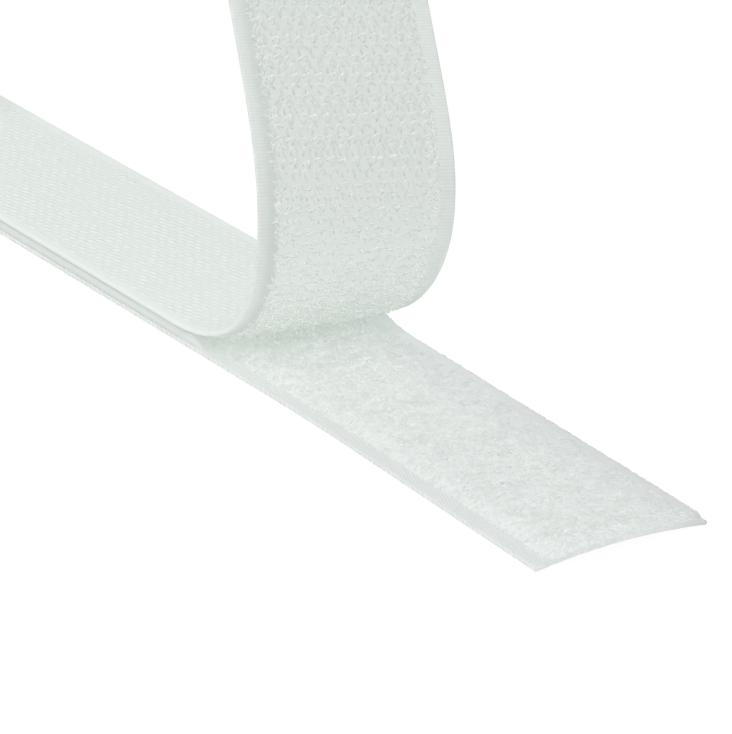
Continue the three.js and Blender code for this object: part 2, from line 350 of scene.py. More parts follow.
@dataclass(frozen=True)
class HookGround:
    """The face that the hooks stand on, with plain ribbed selvedges. Its lower bend is painted paler to
    lift the shade that it gets facing down, and painted shade lies in the gaps between the hooks and on the
    near selvedge beside the field.
    """

    light: Colour = (0.757, 0.797, 0.767, 1.0)
    dark: Colour = (0.7, 0.74, 0.71, 1.0)
    # painted shade for the gaps between the hooks' feet
    painted_gap_shade: Colour = (0.65, 0.69, 0.66, 1.0)
    rim: Colour = (0.84, 0.888, 0.857, 1.0)
    rim_until: float = 40.0
    # painted paler colour for the lower bend, which lifts the shade that it gets facing down
    pale: Colour = (0.782, 0.824, 0.79, 1.0)
    # painted shadow of the edge row of hooks on the near selvedge
    painted_shadow: Colour = (0.6, 0.645, 0.612, 1.0)
    half: float = 12.0
    pale_until: float = 46.0
    pale_over: float = 18.0
    thread: float = 0.42
    dash_slant: float = 0.3
    pitch_along: float = 1.33
    pitch_across: float = 1.55
    field_half: float = 10.1
    depth: float = 0.05

    def build(self) -> bpy.types.Material:
        """Makes the material.

        Returns:
            The material.
        """
        graph = Paint("hook_ground")
        along, across = graph.tape_places()
        field = 1 - abs(across).rise(self.field_half, self.field_half + 0.5)
        rib = along.wave(self.thread)
        gap_shade_mask = self.dashes(along, across) * field
        drift = graph.noise(1100, 3)
        height = (1 - field) * rib * 0.28 + drift * 0.4 - gap_shade_mask * 0.3
        plain = graph.mix(height.rise(0.1, 0.6), self.dark, self.light)
        # painted shade in the gaps between the hooks, which throw no shadow of their own
        woven = graph.mix(gap_shade_mask, plain, self.painted_gap_shade)
        # the lower bend is painted paler to lift its shade
        wear_and_painted_lift = (1 - along.rise(self.pale_until - self.pale_over, self.pale_until)) * field
        # painted shadow on the near selvedge beside the field, where the hooks at the field's edge would
        # throw it
        inner = 1 - across.rise(-self.field_half, 0.5 - self.field_half)
        hook_edge_shadow = across.rise(-self.half, -self.field_half - 0.4) * inner
        rim = (1 - along.rise(0.0, self.rim_until)) * abs(across).rise(self.half, self.half + 0.3)
        face = graph.mix(hook_edge_shadow * 0.7, graph.mix(wear_and_painted_lift, woven, self.pale), self.painted_shadow)
        graph.colour(graph.mix(rim, face, self.rim))
        graph.bump(height, self.depth)
        graph.cloth(roughness=0.55, sheen=0.1)
        return graph.material

    def dashes(self, along: Wire, across: Wire) -> Wire:
        """The slanting gaps between the feet of the hooks, 1 in a gap and 0 beside it. The colour paints
        shade into them, standing for the shadows that the hooks throw.

        Args:
            along: places along the tape.
            across: places across it.

        Returns:
            The gaps.
        """
        step = along / self.pitch_along
        shift = (step.floor() % 2) * 0.5
        cell = ((across + along * self.dash_slant) / self.pitch_across + shift) % 1.0
        side = abs(cell * 2 - 1).rise(0.66, 0.95)
        return side * (1 - abs((step % 1.0) * 2 - 1).rise(0.55, 1.0))


@dataclass(frozen=True)
class PlainWeave:
    """The close plain weave of the loop tape's web."""

    light: Colour = (0.805, 0.834, 0.82, 1.0)
    dark: Colour = (0.74, 0.767, 0.754, 1.0)
    warp: float = 0.36
    weft: float = 0.9
    slant: float = math.radians(16)
    depth: float = 0.06

    def build(self) -> bpy.types.Material:
        """Makes the material.

        Returns:
            The material.
        """
        graph = Paint("plain_weave")
        along, across = graph.tape_places()
        warp = (across * math.cos(self.slant) + along * math.sin(self.slant)).wave(self.warp)
        weft = along.wave(self.weft)
        drift = graph.noise(1000, 3)
        height = warp * 0.6 + weft * 0.15 + drift * 0.4
        graph.colour(graph.mix(height.rise(0.2, 1.0), self.dark, self.light))
        graph.bump(height, self.depth)
        graph.cloth(roughness=0.65, sheen=0.1)
        return graph.material


@dataclass(frozen=True)
class NapBed:
    """The dense root of the pile, with painted shade in the crease under the peeled flap and along the
    pressed pile, and towards the far edge.
    """

    light: Colour = (0.83, 0.86, 0.845, 1.0)
    dark: Colour = (0.76, 0.789, 0.774, 1.0)
    # painted shade towards the far edge of the nap
    far: Colour = (0.71, 0.74, 0.735, 1.0)
    far_from: float = 2.0
    # painted shade at the far rim of the nap
    rim: Colour = (0.63, 0.655, 0.655, 1.0)
    rim_from: float = 7.5
    # painted shade for the crease under the peeled flap and for the pressed pile
    pressed: Colour = (0.7, 0.745, 0.71, 1.0)
    shade_until: float = 20.0
    clump: float = 1400.0
    depth: float = 0.08

    def build(self) -> bpy.types.Material:
        """Makes the material.

        Returns:
            The material.
        """
        graph = Paint("nap_bed")
        along, across = graph.tape_places()
        clumps = graph.noise(self.clump, 4)
        free = graph.mix(clumps.rise(0.35, 0.65), self.dark, self.light)
        # painted shade towards the far edge and at the far rim
        free = graph.mix(across.rise(self.far_from, self.far_from + 10) * 0.7, free, self.far)
        free = graph.mix(across.rise(self.rim_from, self.rim_from + 4) * 0.5, free, self.rim)
        # painted shade in the crease under the peeled flap and all along the pressed pile
        graph.colour(graph.mix(along.rise(0.0, self.shade_until), self.pressed, free))
        graph.bump(clumps, self.depth)
        graph.cloth(roughness=0.9, sheen=0.3)
        return graph.material


@dataclass(frozen=True)
class NapFibre:
    """The loose loops of the pile, each a little lighter or darker than the next, with painted shade in the
    crease and towards the far edge.
    """

    light: Colour = (0.885, 0.913, 0.897, 1.0)
    dark: Colour = (0.695, 0.723, 0.707, 1.0)
    # painted shade for the loops towards the far edge and at the far rim
    far: Colour = (0.75, 0.777, 0.772, 1.0)
    far_from: float = 0.0
    rim: Colour = (0.65, 0.675, 0.675, 1.0)
    rim_from: float = 7.5
    # painted shade for the loops in the crease under the peeled flap
    pressed: Colour = (0.73, 0.775, 0.74, 1.0)
    shade_from: float = 4.0
    shade_until: float = 22.0

    def build(self) -> bpy.types.Material:
        """Makes the material.

        Returns:
            The material.
        """
        graph = Paint("nap_fibre")
        place = graph.node("ShaderNodeTexCoord", {}, {}).outputs["Object"]
        parts = graph.node("ShaderNodeSeparateXYZ", {}, {"Vector": place}).outputs
        along, across = Wire(graph, parts["X"]), Wire(graph, parts["Y"])
        drift = graph.noise(350, 2).rise(0.3, 0.7)
        tone = graph.attribute(TONE) * 0.55 + drift * 0.45
        free = along.rise(self.shade_from * MM, self.shade_until * MM)
        away = across.rise(self.far_from * MM, (self.far_from + 10) * MM)
        # painted shade on the loops towards the far edge and at the far rim
        loose = graph.mix(away * 0.7, graph.mix(tone, self.dark, self.light), self.far)
        edge = across.rise(self.rim_from * MM, (self.rim_from + 4) * MM)
        loose = graph.mix(edge * 0.5, loose, self.rim)
        # painted shade on the loops in the crease under the peeled flap
        graph.colour(graph.mix(free, self.pressed, loose))
        graph.cloth(roughness=0.6, sheen=0.3)
        return graph.material


@dataclass(frozen=True)
class HookNylon:
    """The bent monofilament of the hooks, smooth and slightly glossy, with a painted glint in near white on
    the crowns of a few hooks.
    """

    light: Colour = (0.775, 0.818, 0.785, 1.0)
    dark: Colour = (0.72, 0.761, 0.73, 1.0)
    # painted glint: near white on the crowns of glinting hooks
    crown: Colour = (0.97, 0.985, 0.975, 1.0)

    def build(self) -> bpy.types.Material:
        """Makes the material.

        Returns:
            The material.
        """
        graph = Paint("hook_nylon")
        drift = graph.noise(700, 2)
        own = graph.attribute(TONE)
        tone = own * 0.6 + drift * 0.4
        # painted glint on the crowns, under a real coat
        crown = own.rise(0.8, 1.0)
        graph.colour(graph.mix(crown, graph.mix(tone, self.dark, self.light), self.crown))
        graph.plug(crown, graph.shader.inputs["Coat Weight"])
        graph.fix({"Roughness": 0.42, "Specular IOR Level": 0.12, "Coat Roughness": 0.3})
        graph.fix({"Sheen Weight": 0.3, "Sheen Roughness": 0.5})
        return graph.material


@dataclass(frozen=True)
class WoundBoard:
    """Brown paper board, wound from a strip whose seam climbs round the tube."""

    light: Colour = (0.46, 0.31, 0.17, 1.0)
    dark: Colour = (0.33, 0.21, 0.11, 1.0)
    fibre: float = 900.0

    def build(self) -> bpy.types.Material:
        """Makes the material.

        Returns:
            The material.
        """
        graph = Paint("wound_board")
        place = graph.node("ShaderNodeTexCoord", {}, {}).outputs["Object"]
        stretched = graph.node("ShaderNodeMapping", {}, {"Vector": place, "Scale": (1.0, 0.25, 1.0)})
        fibres = graph.noise(self.fibre, 5, stretched.outputs["Vector"])
        cloud = graph.noise(120, 2)
        tone = fibres * 0.7 + cloud * 0.3
        graph.colour(graph.mix(tone.rise(0.3, 0.7), self.dark, self.light))
        graph.bump(fibres, 0.08)
        graph.fix({"Roughness": 0.85})
        return graph.material


@dataclass(frozen=True)
class Tape:
    """Sizes that both tapes share, in millimetres."""

    width: float = 25.0
    loop_web: float = 0.5
    hook_web: float = 0.4
    backing: float = 0.15
    pile_depth: float = 1.35
    selvedge: float = 2.2
    nap: float = 0.9
    layer_gap: float = 0.05
    wind_gap: float = 0.2
    length: float = 2000.0
    mated: float = 155.0
    free: float = 94.7
    cut_slant: float = 6.6

    @property
    def half(self) -> float:
        """Half the width."""
        return self.width / 2

    @property
    def pile_half(self) -> float:
        """Half the width of the hooks and of the pile."""
        return self.half - self.selvedge

    @property
    def pile_top(self) -> float:
        """The height of the pressed pile."""
        return self.loop_web + self.pile_depth

    @property
    def stack(self) -> float:
        """The height of the pressed pair."""
        return self.pile_top + 2 * self.layer_gap + self.backing + self.hook_web

    def cut(self, side: np.ndarray) -> np.ndarray:
        """How much longer the tape is at places across it than on its centre line."""
        return -self.cut_slant * side / self.width


def bell(x: np.ndarray | float, at: float, spread: Any) -> Any:
    """A rounded peak of height 1."""
    return np.exp(-(((x - at) / spread) ** 2))


def smooth(x: np.ndarray, start: float, over: float) -> np.ndarray:
    """A smooth step from 0 at start to 1 where it is over."""
    share = np.clip((x - start) / over, 0, 1)
    return share * share * (3 - 2 * share)


def unit(vectors: Points) -> Points:
    """The same directions at length 1."""
    return vectors / np.linalg.norm(vectors, axis=-1, keepdims=True)


@dataclass
class HookPath:
    """The way of the hook tape: straight along the pressed stretch, then up and back through the peel."""

    tape: Tape = field(default_factory=Tape)
    bend_radius: float = 14.2
    bend_at: float = 34.4
    bend_rise: float = 28.3
    bend_fall: float = 11.5
    twist: float = math.radians(-12.3)
    twist_at: float = 30.2
    twist_spread: float = 9.1
    step: float = 0.25

    def __post_init__(self) -> None:
        """Walks the peel once, turning the tape's own axes by the bend and the twist at each step."""
        point = Vector((0, 0, self.tape.stack - self.tape.hook_web / 2))
        along, across = Vector((1, 0, 0)), Vector((0, 1, 0))
        rows = []
        for index in range(int((self.tape.free + self.tape.cut_slant) / self.step) + 2):
            length = index * self.step
            rows.append((length, *point, *across, *along.cross(across)))
            middle = length + self.step / 2
            spread = self.bend_rise if middle < self.bend_at else self.bend_fall
            bend = bell(middle, self.bend_at, spread) / self.bend_radius
            peak = bell(middle, self.twist_at, self.twist_spread)
            twist = self.twist * peak / (self.twist_spread * math.sqrt(math.pi))
            turn = along * twist - across * bend
            rotation = Matrix.Rotation(turn.length * self.step, 3, turn.normalized())
            point = point + along * (self.step / 2)
            along, across = rotation @ along, rotation @ across
            point = point + along * (self.step / 2)
        self.walk = np.array(rows)

    def axes(self, length: np.ndarray) -> tuple[Points, Points, Points]:
        """Points of the middle of the web, with its directions across and up.

        Args:
            length: distances from the peel line, which are negative on the pressed stretch.

        Returns:
            The points, the directions across the tape and the directions out of its back.
        """
        known = self.walk[:, 0]
        columns = [np.interp(length, known, self.walk[:, i]) for i in range(1, 10)]
        columns[0] = columns[0] + np.minimum(length, 0)
        table = np.stack(columns, axis=-1)
        return table[..., 0:3], unit(table[..., 3:6]), unit(table[..., 6:9])

    def place(self, length: np.ndarray, side: np.ndarray, height: Any) -> Points:
        """Points of the hook tape by length, place across it and height above the middle of its web."""
        point, across, up = self.axes(length)
        return point + across * np.asarray(side)[..., None] + up * np.asarray(height)[..., None]


@dataclass
class LoopPath:
    """The way of the loop tape on the floor, which drifts and crowns towards its cut end."""

    tape: Tape = field(default_factory=Tape)
    yaw: float = math.radians(-2.2)
    yaw_from: float = 18.0
    yaw_over: float = 40.0
    crown: float = 0.8
    crown_over: float = 55.0

    def place(self, length: np.ndarray, side: np.ndarray, height: Any) -> Points:
        """Points of the loop tape.

        Args:
            length: distances from the peel line.
            side: places across the tape.
            height: heights above its back.

        Returns:
            The points.
        """
        share = np.clip((length - self.yaw_from) / self.yaw_over, 0, 1)
        turned = self.yaw * smooth(length, self.yaw_from, self.yaw_over)
        eased = self.yaw_over * (share**3 - share**4 / 2)
        past = np.maximum(0, length - self.yaw_from - self.yaw_over)
        drift = math.sin(self.yaw) * (eased + past)
        crown = self.crown * smooth(length, self.tape.free - self.crown_over, self.crown_over)
        arch = crown * (1 - (side / self.tape.half) ** 2)
        x = length - side * np.sin(turned)
        y = drift + side * np.cos(turned)
        return np.stack([x, y, height + arch], axis=-1)


@dataclass
class Winding:
    """The spiral of the pressed pair round its core."""

    tape: Tape = field(default_factory=Tape)
    core_bore: float = 25.4
    core_wall: float = 2.5
    core_gap: float = 0.3

    def __post_init__(self) -> None:
        """Works the roll's radius out from the length that is wound."""
        tape = self.tape
        self.core_radius = self.core_bore / 2 + self.core_wall
        self.inner = self.core_radius + self.core_gap + tape.stack
        self.pitch = tape.stack + tape.wind_gap
        self.wound = tape.length - tape.mated - tape.free
        self.radius = math.sqrt(self.inner**2 + self.pitch * self.wound / math.pi)
        self.turns = (self.radius - self.inner) / self.pitch
        self.x = -tape.mated

    def turn_at(self, length: np.ndarray) -> np.ndarray:
        """Turns from the floor inwards, for lengths that count back from the floor and are below zero."""
        area = self.pitch * (-length) / math.pi
        return (self.radius - np.sqrt(np.maximum(self.radius**2 - area, 0))) / self.pitch

    def place(self, length: np.ndarray, side: np.ndarray, height: Any) -> Points:
        """Points of the pair by length from where it meets the floor, place across it and height.

        Args:
            length: distances from the foot of the roll, below zero in the winding, above it on the floor.
            side: places across the tape.
            height: heights above the back of the loop tape.

        Returns:
            The points.
        """
        turn = self.turn_at(np.minimum(length, 0))
        angle = turn * 2 * math.pi
        radius = self.radius - self.pitch * turn - height
        x = self.x - np.sin(angle) * radius + np.maximum(length, 0)
        z = self.radius - np.cos(angle) * radius
        return np.stack([x, side + 0 * x, z], axis=-1)


@dataclass(frozen=True)
class Section:
    """A tape's flat section with rounded edges, in millimetres."""

    half: float
    low: float
    high: float
    edge: float
    columns: int = 6
    arc: int = 4
    rim: float = 0.15

    def outline(self) -> tuple[np.ndarray, np.ndarray, np.ndarray]:
        """Goes once round the section, from the upper face over one edge to the lower face and back.

        Returns:
            The places across, the heights, and the number of the material from each point to the next.
        """
        reach = self.half - self.edge
        inside = np.linspace(self.rim - reach, reach - self.rim, self.columns - 1)
        flat = np.concatenate([[-reach], inside, [reach]])
        angle = np.linspace(math.pi / 2, -math.pi / 2, self.arc + 1)[1:-1]
        round_side = self.half - self.edge + self.edge * np.cos(angle)
        round_height = (self.high + self.low) / 2 + (self.high - self.low) / 2 * np.sin(angle)
        level = np.ones_like(flat)
        side = np.concatenate([flat, round_side, -flat, -round_side])
        height = np.concatenate([level * self.high, round_height, level * self.low, round_height[::-1]])
        faces = [Side.UPPER.value] * self.columns + [Side.EDGE.value] * self.arc
        faces += [Side.LOWER.value] * self.columns + [Side.EDGE.value] * self.arc
        return side, height, np.array(faces)


class Bench:
    """The modelling operators that every piece goes through."""

    @staticmethod
    def clear() -> None:
        """Deselects everything."""
        bpy.ops.object.select_all(action="DESELECT")

    @staticmethod
    def take(name: str) -> bpy.types.Object:
        """Names the object that an operator has just made.

        Args:
            name: its name.

        Returns:
            The object.
        """
        made = bpy.context.object
        made.name = name
        made.data.name = name
        return made

    @staticmethod
    def pick(piece: bpy.types.Object) -> None:
        """Makes a piece the only one selected and the active one.

        Args:
            piece: the piece.
        """
        Bench.clear()
        piece.select_set(True)
        bpy.context.view_layer.objects.active = piece

    @staticmethod
    def modify(piece: bpy.types.Object, kind: str, **settings: Any) -> None:
        """Adds a modifier to a piece and applies it.

        Args:
            piece: the piece.
            kind: the modifier's type.
            settings: its properties.
        """
        Bench.pick(piece)
        modifier = piece.modifiers.new(kind.lower(), kind)
        for name, value in settings.items():
            setattr(modifier, name, value)
        bpy.ops.object.modifier_apply(modifier=modifier.name)

    @staticmethod
    def smooth(piece: bpy.types.Object, degrees: float = 40.0) -> None:
        """Shades a piece smooth, apart from its sharp edges."""
        Bench.pick(piece)
        bpy.ops.object.shade_smooth_by_angle(angle=math.radians(degrees))

    @staticmethod
    def dress(piece: bpy.types.Object, *materials: bpy.types.Material) -> None:
        """Gives a piece its materials, in the order of its material numbers.

        Args:
            piece: the piece.
            materials: the materials, of which the last also takes higher numbers.
        """
        numbers = np.zeros(len(piece.data.polygons), np.int32)
        piece.data.polygons.foreach_get("material_index", numbers)
        piece.data.materials.clear()
        for material in materials:
            piece.data.materials.append(material)
        numbers = np.minimum(numbers, len(materials) - 1).astype(np.int32)
        piece.data.polygons.foreach_set("material_index", numbers)

    @staticmethod
    def sweep(
        name: str,
        place: Place,
        lengths: np.ndarray,
        section: Section,
        slant: Slant | None = None,
    ) -> bpy.types.Object:
        """A closed strip along a path, with a map in millimetres along it and across it.

        Args:
            name: the piece's name.
            place: gives points from lengths, places across and heights.
            lengths: stations along the path.
            section: the strip's section.
            slant: adds to each length by station and place across, for a slanted end.

        Returns:
            The strip.
        """
        side, height, numbers = section.outline()
        Bench.clear()
        bpy.ops.mesh.primitive_grid_add(x_subdivisions=len(lengths) - 1, y_subdivisions=len(side), size=1.0)
        strip = Bench.take(name)
        along, across = np.meshgrid(lengths, np.append(side, side[0]))
        high = np.meshgrid(lengths, np.append(height, height[0]))[1]
        if slant is not None:
            along = along + slant(along, across)
        points = place(along.ravel(), across.ravel(), high.ravel()) * MM
        strip.data.vertices.foreach_set("co", points.astype(np.float32).ravel())
        corners = np.zeros(len(strip.data.loops), np.int32)
        strip.data.loops.foreach_get("vertex_index", corners)
        flat = np.stack([along.ravel(), across.ravel()], axis=-1)[corners]
        strip.data.uv_layers[0].name = TAPE_MAP
        strip.data.uv_layers[0].data.foreach_set("uv", flat.astype(np.float32).ravel())
        for _ in Side:
            strip.data.materials.append(None)
        numbers = np.repeat(numbers, len(lengths) - 1).astype(np.int32)
        strip.data.polygons.foreach_set("material_index", numbers)
        Bench.close(strip)
        Bench.smooth(strip)
        return strip

    @staticmethod
    def close(strip: bpy.types.Object) -> None:
        """Sews a rolled sheet together, fills its two ends with triangles and turns its faces outward.

        Args:
            strip: the sheet.
        """
        Bench.pick(strip)
        bpy.ops.object.mode_set(mode="EDIT")
        bpy.ops.mesh.select_mode(type="EDGE")
        bpy.ops.mesh.select_all(action="SELECT")
        bpy.ops.mesh.remove_doubles(threshold=SEAM * MM)
        bpy.ops.mesh.select_all(action="DESELECT")
        bpy.ops.mesh.select_non_manifold()
        bpy.ops.mesh.fill_holes(sides=0)
        bpy.ops.mesh.select_mode(type="FACE")
        bpy.ops.mesh.select_face_by_sides(number=4, type="GREATER", extend=False)
        strip.active_material_index = Side.CUT.value
        bpy.ops.object.material_slot_assign()
        bpy.ops.mesh.quads_convert_to_tris(ngon_method="BEAUTY")
        bpy.ops.mesh.select_all(action="SELECT")
        bpy.ops.mesh.normals_make_consistent(inside=False)
        bpy.ops.object.mode_set(mode="OBJECT")


class Strands:
    """Thin round strands along many centre lines, as one mesh."""

    @staticmethod
    def piece(
        name: str,
        lines: Points,
        radius: np.ndarray,
        normal: Points,
        tones: np.ndarray,
        sides: int = 3,
    ) -> bpy.types.Object:
        """Makes the strands.

        Args:
            name: the piece's name.
            lines: centre lines, as strands by points by coordinates.
            radius: the radius at each point of each line.
            normal: for each strand, a direction square to the plane that it bends in.
            tones: for each strand, how light it is.
            sides: how many sides a strand has. Only strands with more than three are shaded smooth.

        Returns:
            The piece.
        """
        count, steps, _ = lines.shape
        tangent = unit(np.gradient(lines, axis=1))
        out = unit(np.cross(tangent, np.broadcast_to(normal[:, None, :], lines.shape)))
        side = np.cross(out, tangent)
        angles = np.arange(sides) * (2 * math.pi / sides)
        ring = (
            out[:, :, None, :] * np.cos(angles)[None, None, :, None]
            + side[:, :, None, :] * np.sin(angles)[None, None, :, None]
        )
        points = lines[:, :, None, :] + ring * radius[:, :, None, None]
        index = np.arange(count * steps * sides).reshape(count, steps, sides)
        ahead = np.roll(index, -1, axis=2)
        walls = np.stack([index[:, :-1], index[:, 1:], ahead[:, 1:], ahead[:, :-1]], axis=-1)
        starts = index[:, 0, :]
        ends = index[:, -1, ::-1]
        faces = walls.reshape(-1, 4).tolist() + starts.tolist() + ends.tolist()
        tones = np.repeat(tones, steps * sides)
        return Strands.mesh(name, points.reshape(-1, 3), faces, tones, sides > 3)

    @staticmethod
    def planes(lines: Points, step: int) -> Points:
        """Directions square to the planes that hold each line's two ends and one point between them."""
        return unit(np.cross(lines[:, -1] - lines[:, 0], lines[:, step] - lines[:, 0]))

    @staticmethod
    def mesh(
        name: str,
        points: Points,
        faces: list[list[int]],
        tones: np.ndarray,
        rounded: bool = True,
    ) -> bpy.types.Object:
        """A piece of fine nylon strands, which throw no shadow, with a tone for each point.

        Args:
            name: the piece's name.
            points: the points, in millimetres.
            faces: the numbers of the points of each face.
            tones: the tones.
            rounded: whether it is shaded smooth.

        Returns:
            The piece.
        """
        made = bpy.data.meshes.new(name)
        made.from_pydata((points * MM).tolist(), [], faces)
        layer = made.attributes.new(TONE, "FLOAT", "POINT")
        layer.data.foreach_set("value", tones.astype(np.float32))
        if rounded:
            made.shade_smooth()
        piece = bpy.data.objects.new(name, made)
        piece.visible_shadow = False
        piece.visible_diffuse = False
        bpy.context.scene.collection.objects.link(piece)
        return piece


@dataclass
class Finishes:
    """One of each material."""

    back: bpy.types.Material = field(default_factory=lambda: TwillBack().build())
    ground: bpy.types.Material = field(default_factory=lambda: HookGround().build())
    plain: bpy.types.Material = field(default_factory=lambda: PlainWeave().build())
    bed: bpy.types.Material = field(default_factory=lambda: NapBed().build())
    fibre: bpy.types.Material = field(default_factory=lambda: NapFibre().build())
    hooks: bpy.types.Material = field(default_factory=lambda: HookNylon().build())
    board: bpy.types.Material = field(default_factory=lambda: WoundBoard().build())


def from_lowest(corners: list[int]) -> list[int]:
    """The same ring of corners, started at its lowest number."""
    first = corners.index(min(corners))
    return corners[first:] + corners[:first]


def settle(piece: bpy.types.Object, body: Body, slot: Slot, *nodes: str) -> None:
    """Makes a piece ride on a body and stand for CAD nodes.

    Args:
        piece: the finished piece.
        body: what it rides on.
        slot: not used.
        nodes: the CAD nodes that it stands for.
    """
    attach(piece, body.value)
    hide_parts(*nodes)
    LOG.info("%s: %d faces", piece.name, len(piece.data.polygons))


@dataclass
class Core:
    """The paper-board tube in the middle of the roll."""

    winding: Winding
    finishes: Finishes
    sides: int = 96
    edge: float = 0.3

    def build(self) -> None:
        """Makes the tube and dresses it."""
        tape, winding = self.winding.tape, self.winding
        Bench.clear()
        bpy.ops.mesh.primitive_cylinder_add(
            vertices=self.sides,
            radius=winding.core_radius * MM,
            depth=tape.width * MM,
            end_fill_type="NOTHING",
            location=(winding.x * MM, 0, winding.radius * MM),
            rotation=(math.pi / 2, 0, 0),
        )
        tube = Bench.take("core")
        bpy.ops.object.transform_apply(location=True, rotation=True, scale=True)
        wall = winding.core_wall * MM
        Bench.modify(tube, "SOLIDIFY", thickness=wall, offset=-1.0, use_even_offset=True)
        Bench.modify(
            tube,
            "BEVEL",
            width=self.edge * MM,
            segments=3,
            limit_method="ANGLE",
            angle_limit=math.radians(60),
        )
        Bench.smooth(tube)
        Bench.dress(tube, self.finishes.board)
        settle(tube, Body.ROLL, Slot.BOARD, "core_tube")


@dataclass
class WoundPair:
    """The pressed pair from its inner end on the core out to the peel line."""

    winding: Winding
    finishes: Finishes
    step: float = 1.5
    run_steps: int = 60
    edge: float = 0.2
    bulge: float = 2.0
    sunk: float = 0.1
    tuft_pitch: float = 0.55
    tuft_shift: float = 0.2
    tuft_root: float = 0.2
    tuft_reach: Span = (-0.1, 0.2)
    tuft_lean: float = 0.8
    tuft_wire: float = 0.07
    tuft_tone: float = 0.8
    tuft_points: int = 6
    seed: int = 41

    def lengths(self) -> np.ndarray:
        """Lists the stations from the inner end to the peel line.

        Returns:
            The stations, with the peel line at zero.
        """
        tape = self.winding.tape
        wound = np.arange(-self.winding.wound, 0, self.step) - tape.mated
        return np.append(wound, np.linspace(-tape.mated, 0, self.run_steps))

    def place(self, length: np.ndarray, side: np.ndarray, height: Any) -> Points:
        """Places of the pair by length from the peel line."""
        return self.winding.place(length + self.winding.tape.mated, side, height)

    def build(self) -> None:
        """Makes the hook web and the pressed pile under it."""
        tape = self.winding.tape
        whole = Section(tape.half, tape.pile_top + tape.layer_gap, tape.stack, self.edge)
        web = Bench.sweep("hook_web_roll", self.place, self.lengths(), whole)
        Bench.dress(web, self.finishes.back, self.finishes.ground, self.finishes.back)
        settle(web, Body.ROLL, Slot.WOVEN, "hook_web_wound", "hook_web_run")
        low, high = tape.loop_web - self.sunk, tape.pile_top + self.sunk
        inner = Section(tape.pile_half + self.bulge, low, high, self.edge)
        pile = Bench.sweep("pressed_pile", self.place, self.lengths(), inner)
        Bench.dress(pile, self.finishes.bed)
        settle(pile, Body.ROLL, Slot.PILE, "pile_wound", "pile_run")
        for sign, name in ((-1, "pile_edge_near"), (1, "pile_edge_far")):
            self.tufts(name, sign)

    def tufts(self, name: str, sign: int) -> None:
        """Makes the loops that show along one edge of the pressed pile.

        Args:
            name: the piece's name.
            sign: which edge, below zero for the near one.
        """
        tape = self.winding.tape
        draw = np.random.default_rng(self.seed + sign)
        start = np.arange(-self.winding.wound + 4, tape.mated - 1, self.tuft_pitch)
        count = len(start)
        start = start + draw.uniform(-self.tuft_shift, self.tuft_shift, count)
        reach = self.bulge + draw.uniform(*self.tuft_reach, count)
        lean = draw.uniform(-self.tuft_lean, self.tuft_lean, count)
        share = np.linspace(0, 1, self.tuft_points)
        swing = np.sin(share * math.pi)
        length = start[:, None] + lean[:, None] * share[None, :]
        side = sign * (tape.pile_half - self.tuft_root + reach[:, None] * swing[None, :])
        low, high = tape.loop_web + 0.05, tape.pile_top - 0.02
        height = low + (high - low) * share[None, :] * np.ones((count, 1))
        lines = self.winding.place(length.ravel(), side.ravel(), height.ravel())
        lines = lines.reshape(count, self.tuft_points, 3)
        radius = np.full(lines.shape[:2], self.tuft_wire)
        tones = draw.uniform(0, self.tuft_tone, count)
        tufts = Strands.piece(name, lines, radius, Strands.planes(lines, 2), tones)
        Bench.dress(tufts, self.finishes.fibre)
        settle(tufts, Body.ROLL, Slot.PILE, "pile_run")


